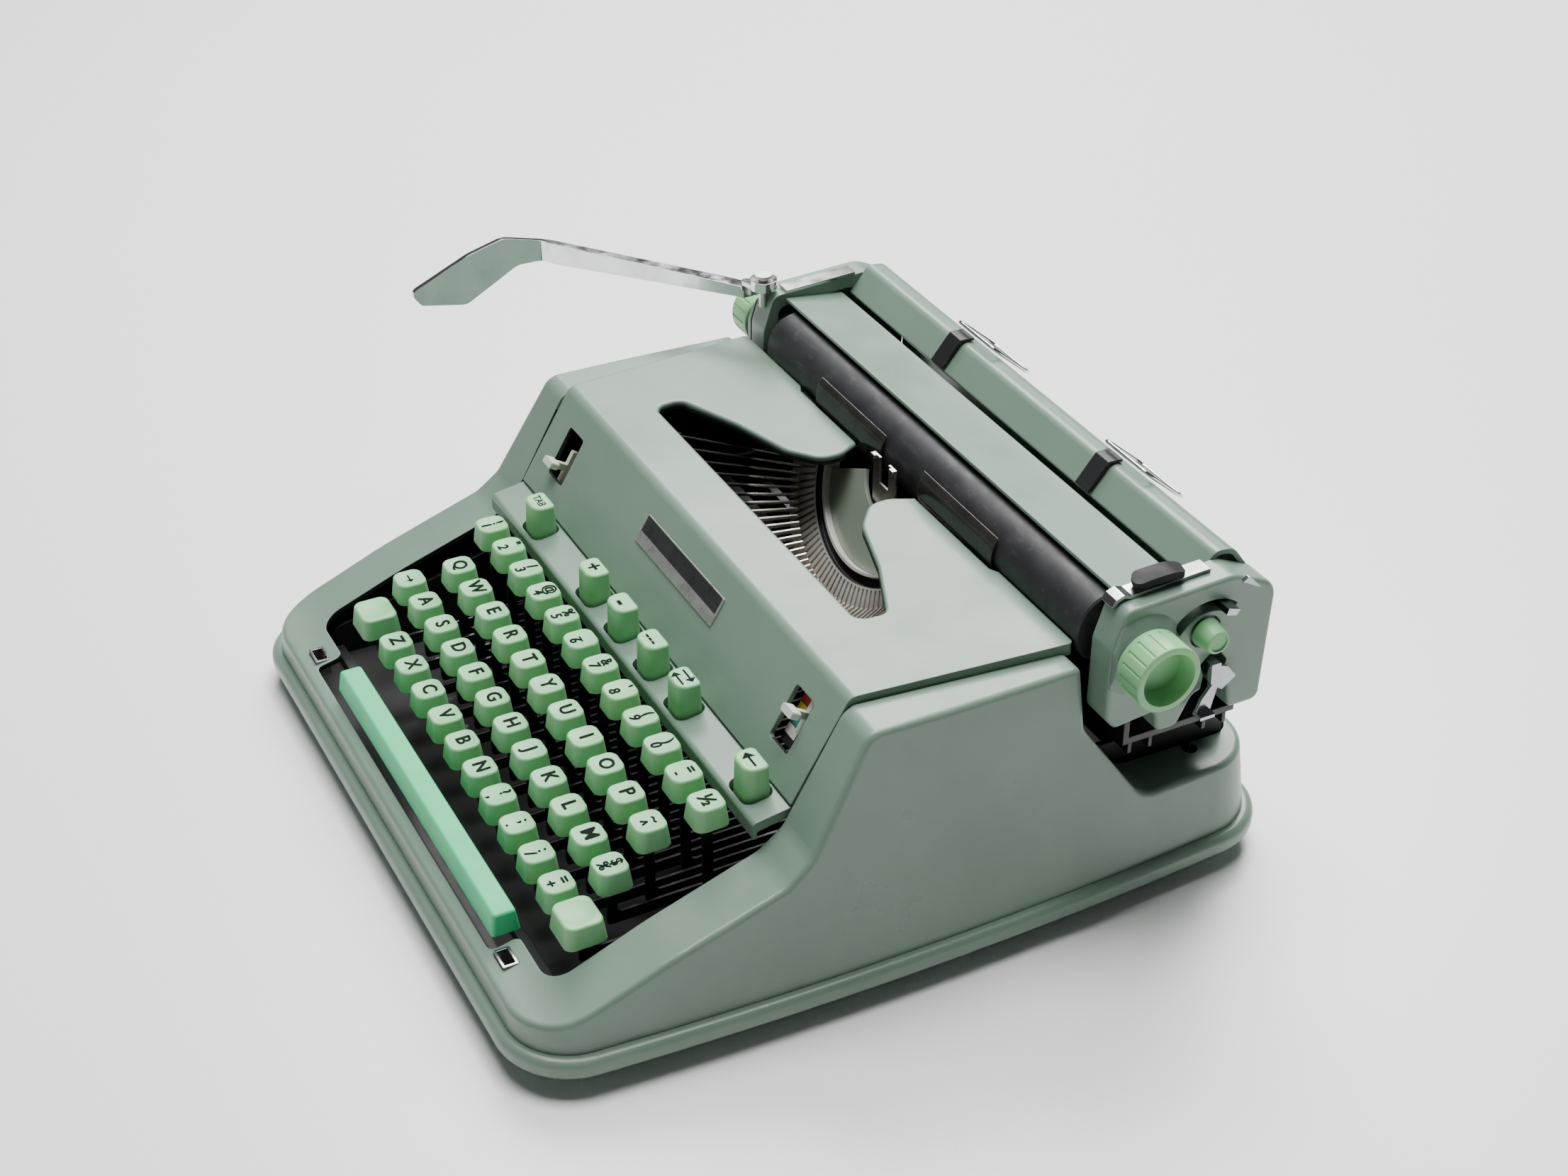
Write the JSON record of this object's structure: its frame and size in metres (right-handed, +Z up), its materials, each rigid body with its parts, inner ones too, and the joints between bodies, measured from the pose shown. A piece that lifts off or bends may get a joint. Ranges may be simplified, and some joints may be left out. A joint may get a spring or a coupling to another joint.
{
  "type": "portable typewriter",
  "caption": "Portable manual typewriter in a rounded two-part housing: keyboard, type basket and a sliding carriage with platen, knobs and return lever, for typing on paper.",
  "frame": {"origin": "centre of the whole machine, return lever and knobs included, at the height of the table it stands on", "axes": "+X to the typist's right, along the platen; +Y from the typist to the rear; +Z up"},
  "size_m": [0.399, 0.322, 0.1477],
  "materials": {
    "enamel": "glossy sage-green enamel",
    "enamel_light": "satin pale green enamel",
    "mint": "glossy mint plastic",
    "mint_bar": "glossy bluish mint plastic",
    "black_steel": "black lacquered steel",
    "bright_steel": "brushed steel",
    "chrome": "polished chrome",
    "foot_rubber": "matte black rubber",
    "platen_rubber": "smooth hard black rubber",
    "black_plastic": "dark translucent plastic",
    "plate_alu": "satin aluminium",
    "scale_paint": "printed scale",
    "tab_plastic": "pale plastic"
  },
  "bodies": {
    "machine": {"base_tray": "enamel", "body_shell": "enamel", "card_guides": "black_plastic", "carriage_rails": "bright_steel", "chassis": "black_steel", "feet": "foot_rubber", "hood": "enamel", "key_shelf": "enamel_light", "latch_sockets": "chrome", "lever_shaft": "bright_steel", "nameplate": "plate_alu", "segment_plate": "enamel_light", "touch_scale": "scale_paint", "type_segment": "bright_steel", "typebars": "black_steel"},
    "key_row_1": {"keys_row_1": "mint", "levers_row_1": "black_steel"},
    "key_row_2": {"keys_row_2": "mint", "levers_row_2": "black_steel"},
    "key_row_3": {"keys_row_3": "mint", "levers_row_3": "black_steel"},
    "key_row_4": {"keys_row_4": "mint", "levers_row_4": "black_steel"},
    "shift": {"shift_key_left": "mint", "shift_key_right": "mint", "shift_bail": "black_steel"},
    "lock_key": {"shift_lock": "mint"},
    "space": {"space_bar": "mint_bar"},
    "tab_key": {"key_tab": "mint"},
    "tab_set_key": {"key_tab_set": "mint"},
    "tab_clear_key": {"key_tab_clear": "mint"},
    "clear_all_key": {"key_clear_all": "mint"},
    "margin_release_key": {"key_margin_release": "mint"},
    "backspace_key": {"key_backspace": "mint"},
    "touch_slider": {"touch_lever": "tab_plastic"},
    "ribbon_slider": {"ribbon_lever": "tab_plastic"},
    "middle_typebar": {"typebar_middle": "black_steel"},
    "ribbon_lifter": {"ribbon_guide": "bright_steel"},
    "spool_l": {"ribbon_spool_left": "black_plastic"},
    "spool_r": {"ribbon_spool_right": "black_plastic"},
    "carriage": {"carriage_frame": "black_steel", "end_housing_left": "enamel", "end_housing_right": "enamel", "end_strips": "chrome", "paper_table": "enamel_light", "rear_cover": "enamel", "paper_rest_clips": "black_steel", "lever_stud": "bright_steel"},
    "platen_roller": {"platen": "platen_rubber", "platen_shaft": "bright_steel", "knob_left": "mint", "knob_right": "mint", "ratchet_wheel": "bright_steel"},
    "feed": {"feed_rollers": "platen_rubber"},
    "paper_rest": {"paper_rest_wires": "chrome"},
    "line_lever": {"return_lever": "chrome"},
    "push_button": {"knob_button": "mint"},
    "paper_release": {"paper_release_lever": "black_plastic"},
    "carriage_release": {"carriage_release_lever": "chrome"},
    "platen_release": {"platen_release_lever": "chrome"}
  },
  "joints": [
    {"name": "key_row_1_press", "type": "hinge", "parent": "machine", "child": "key_row_1", "pos_m": [0.0265, 0.066, 0.0305], "axis": [1, 0, 0], "range_deg": [0, 3.05], "stiffness_Nm_per_rad": 3, "springref_deg": -8.59},
    {"name": "key_row_2_press", "type": "hinge", "parent": "machine", "child": "key_row_2", "pos_m": [0.0265, 0.066, 0.0305], "axis": [1, 0, 0], "range_deg": [0, 3.35], "stiffness_Nm_per_rad": 3, "springref_deg": -8.59},
    {"name": "key_row_3_press", "type": "hinge", "parent": "machine", "child": "key_row_3", "pos_m": [0.0265, 0.066, 0.0305], "axis": [1, 0, 0], "range_deg": [0, 3.74], "stiffness_Nm_per_rad": 3, "springref_deg": -8.59},
    {"name": "key_row_4_press", "type": "hinge", "parent": "machine", "child": "key_row_4", "pos_m": [0.0265, 0.066, 0.0305], "axis": [1, 0, 0], "range_deg": [0, 4.27], "stiffness_Nm_per_rad": 3, "springref_deg": -8.59},
    {"name": "shift_press", "type": "hinge", "parent": "machine", "child": "shift", "pos_m": [0.0265, 0.066, 0.0305], "axis": [1, 0, 0], "range_deg": [0, 2.6], "stiffness_Nm_per_rad": 4, "springref_deg": -8.59},
    {"name": "shift_lock_press", "type": "slide", "parent": "machine", "child": "lock_key", "axis": [0, 0, -1], "range_m": [0, 0.007], "stiffness_N_per_m": 150, "springref_m": -0.006},
    {"name": "space_press", "type": "slide", "parent": "machine", "child": "space", "axis": [0, 0, -1], "range_m": [0, 0.005], "stiffness_N_per_m": 150, "springref_m": -0.006},
    {"name": "tab_key_press", "type": "slide", "parent": "machine", "child": "tab_key", "axis": [0, 0, -1], "range_m": [0, 0.006], "stiffness_N_per_m": 150, "springref_m": -0.006},
    {"name": "tab_set_key_press", "type": "slide", "parent": "machine", "child": "tab_set_key", "axis": [0, 0, -1], "range_m": [0, 0.006], "stiffness_N_per_m": 150, "springref_m": -0.006},
    {"name": "tab_clear_key_press", "type": "slide", "parent": "machine", "child": "tab_clear_key", "axis": [0, 0, -1], "range_m": [0, 0.006], "stiffness_N_per_m": 150, "springref_m": -0.006},
    {"name": "clear_all_key_press", "type": "slide", "parent": "machine", "child": "clear_all_key", "axis": [0, 0, -1], "range_m": [0, 0.006], "stiffness_N_per_m": 150, "springref_m": -0.006},
    {"name": "margin_release_key_press", "type": "slide", "parent": "machine", "child": "margin_release_key", "axis": [0, 0, -1], "range_m": [0, 0.006], "stiffness_N_per_m": 150, "springref_m": -0.006},
    {"name": "backspace_key_press", "type": "slide", "parent": "machine", "child": "backspace_key", "axis": [0, 0, -1], "range_m": [0, 0.006], "stiffness_N_per_m": 150, "springref_m": -0.006},
    {"name": "touch_control", "type": "slide", "parent": "machine", "child": "touch_slider", "axis": [0, 0.5145, 0.8575], "range_m": [-0.01, 0.005]},
    {"name": "ribbon_selector", "type": "slide", "parent": "machine", "child": "ribbon_slider", "axis": [0, 0.5145, 0.8575], "range_m": [-0.002, 0.014]},
    {"name": "typebar_swing", "type": "hinge", "parent": "machine", "child": "middle_typebar", "pos_m": [0.02808, 0.04044, 0.06636], "axis": [-0.9996, -0.0122, -0.0239], "range_deg": [0, 122]},
    {"name": "ribbon_lift", "type": "slide", "parent": "machine", "child": "ribbon_lifter", "axis": [0, 0, 1], "range_m": [0, 0.008]},
    {"name": "spool_left_turn", "type": "hinge", "parent": "machine", "child": "spool_l", "pos_m": [-0.0765, 0.044, 0.0975], "axis": [0, 0, 1], "continuous": true},
    {"name": "spool_right_turn", "type": "hinge", "parent": "machine", "child": "spool_r", "pos_m": [0.1295, 0.044, 0.0975], "axis": [0, 0, 1], "continuous": true},
    {"name": "carriage_travel", "type": "slide", "parent": "machine", "child": "carriage", "axis": [1, 0, 0], "range_m": [-0.13, 0.11]},
    {"name": "platen_turn", "type": "hinge", "parent": "carriage", "child": "platen_roller", "pos_m": [0.0365, 0.0856, 0.1175], "axis": [1, 0, 0], "continuous": true},
    {"name": "feed_roller_turn", "type": "hinge", "parent": "carriage", "child": "feed", "pos_m": [0.0365, 0.09258, 0.09833], "axis": [1, 0, 0], "continuous": true},
    {"name": "paper_rest_raise", "type": "hinge", "parent": "carriage", "child": "paper_rest", "pos_m": [0.0365, 0.1294, 0.1469], "axis": [1, 0, 0], "range_deg": [0, 125]},
    {"name": "return_lever_swing", "type": "hinge", "parent": "carriage", "child": "line_lever", "pos_m": [-0.102, 0.076, 0.14], "axis": [0, 0, 1], "range_deg": [0, 35], "stiffness_Nm_per_rad": 0.1, "springref_deg": -17.19},
    {"name": "side_button_press", "type": "slide", "parent": "carriage", "child": "push_button", "axis": [-1, 0, 0], "range_m": [0, 0.0025], "stiffness_N_per_m": 300, "springref_m": -0.003},
    {"name": "paper_release_lift", "type": "hinge", "parent": "carriage", "child": "paper_release", "pos_m": [0.1715, 0.107, 0.144], "axis": [-1, 0, 0], "range_deg": [0, 28]},
    {"name": "carriage_release_turn", "type": "hinge", "parent": "carriage", "child": "carriage_release", "pos_m": [0.1829, 0.118, 0.118], "axis": [1, 0, 0], "range_deg": [0, 8]},
    {"name": "platen_release_turn", "type": "hinge", "parent": "carriage", "child": "platen_release", "pos_m": [0.1829, 0.1145, 0.113], "axis": [1, 0, 0], "range_deg": [0, 60]}
  ],
  "couplings": [
    {"joint": "feed_roller_turn", "follows": "platen_turn", "ratio": -3}
  ]
}
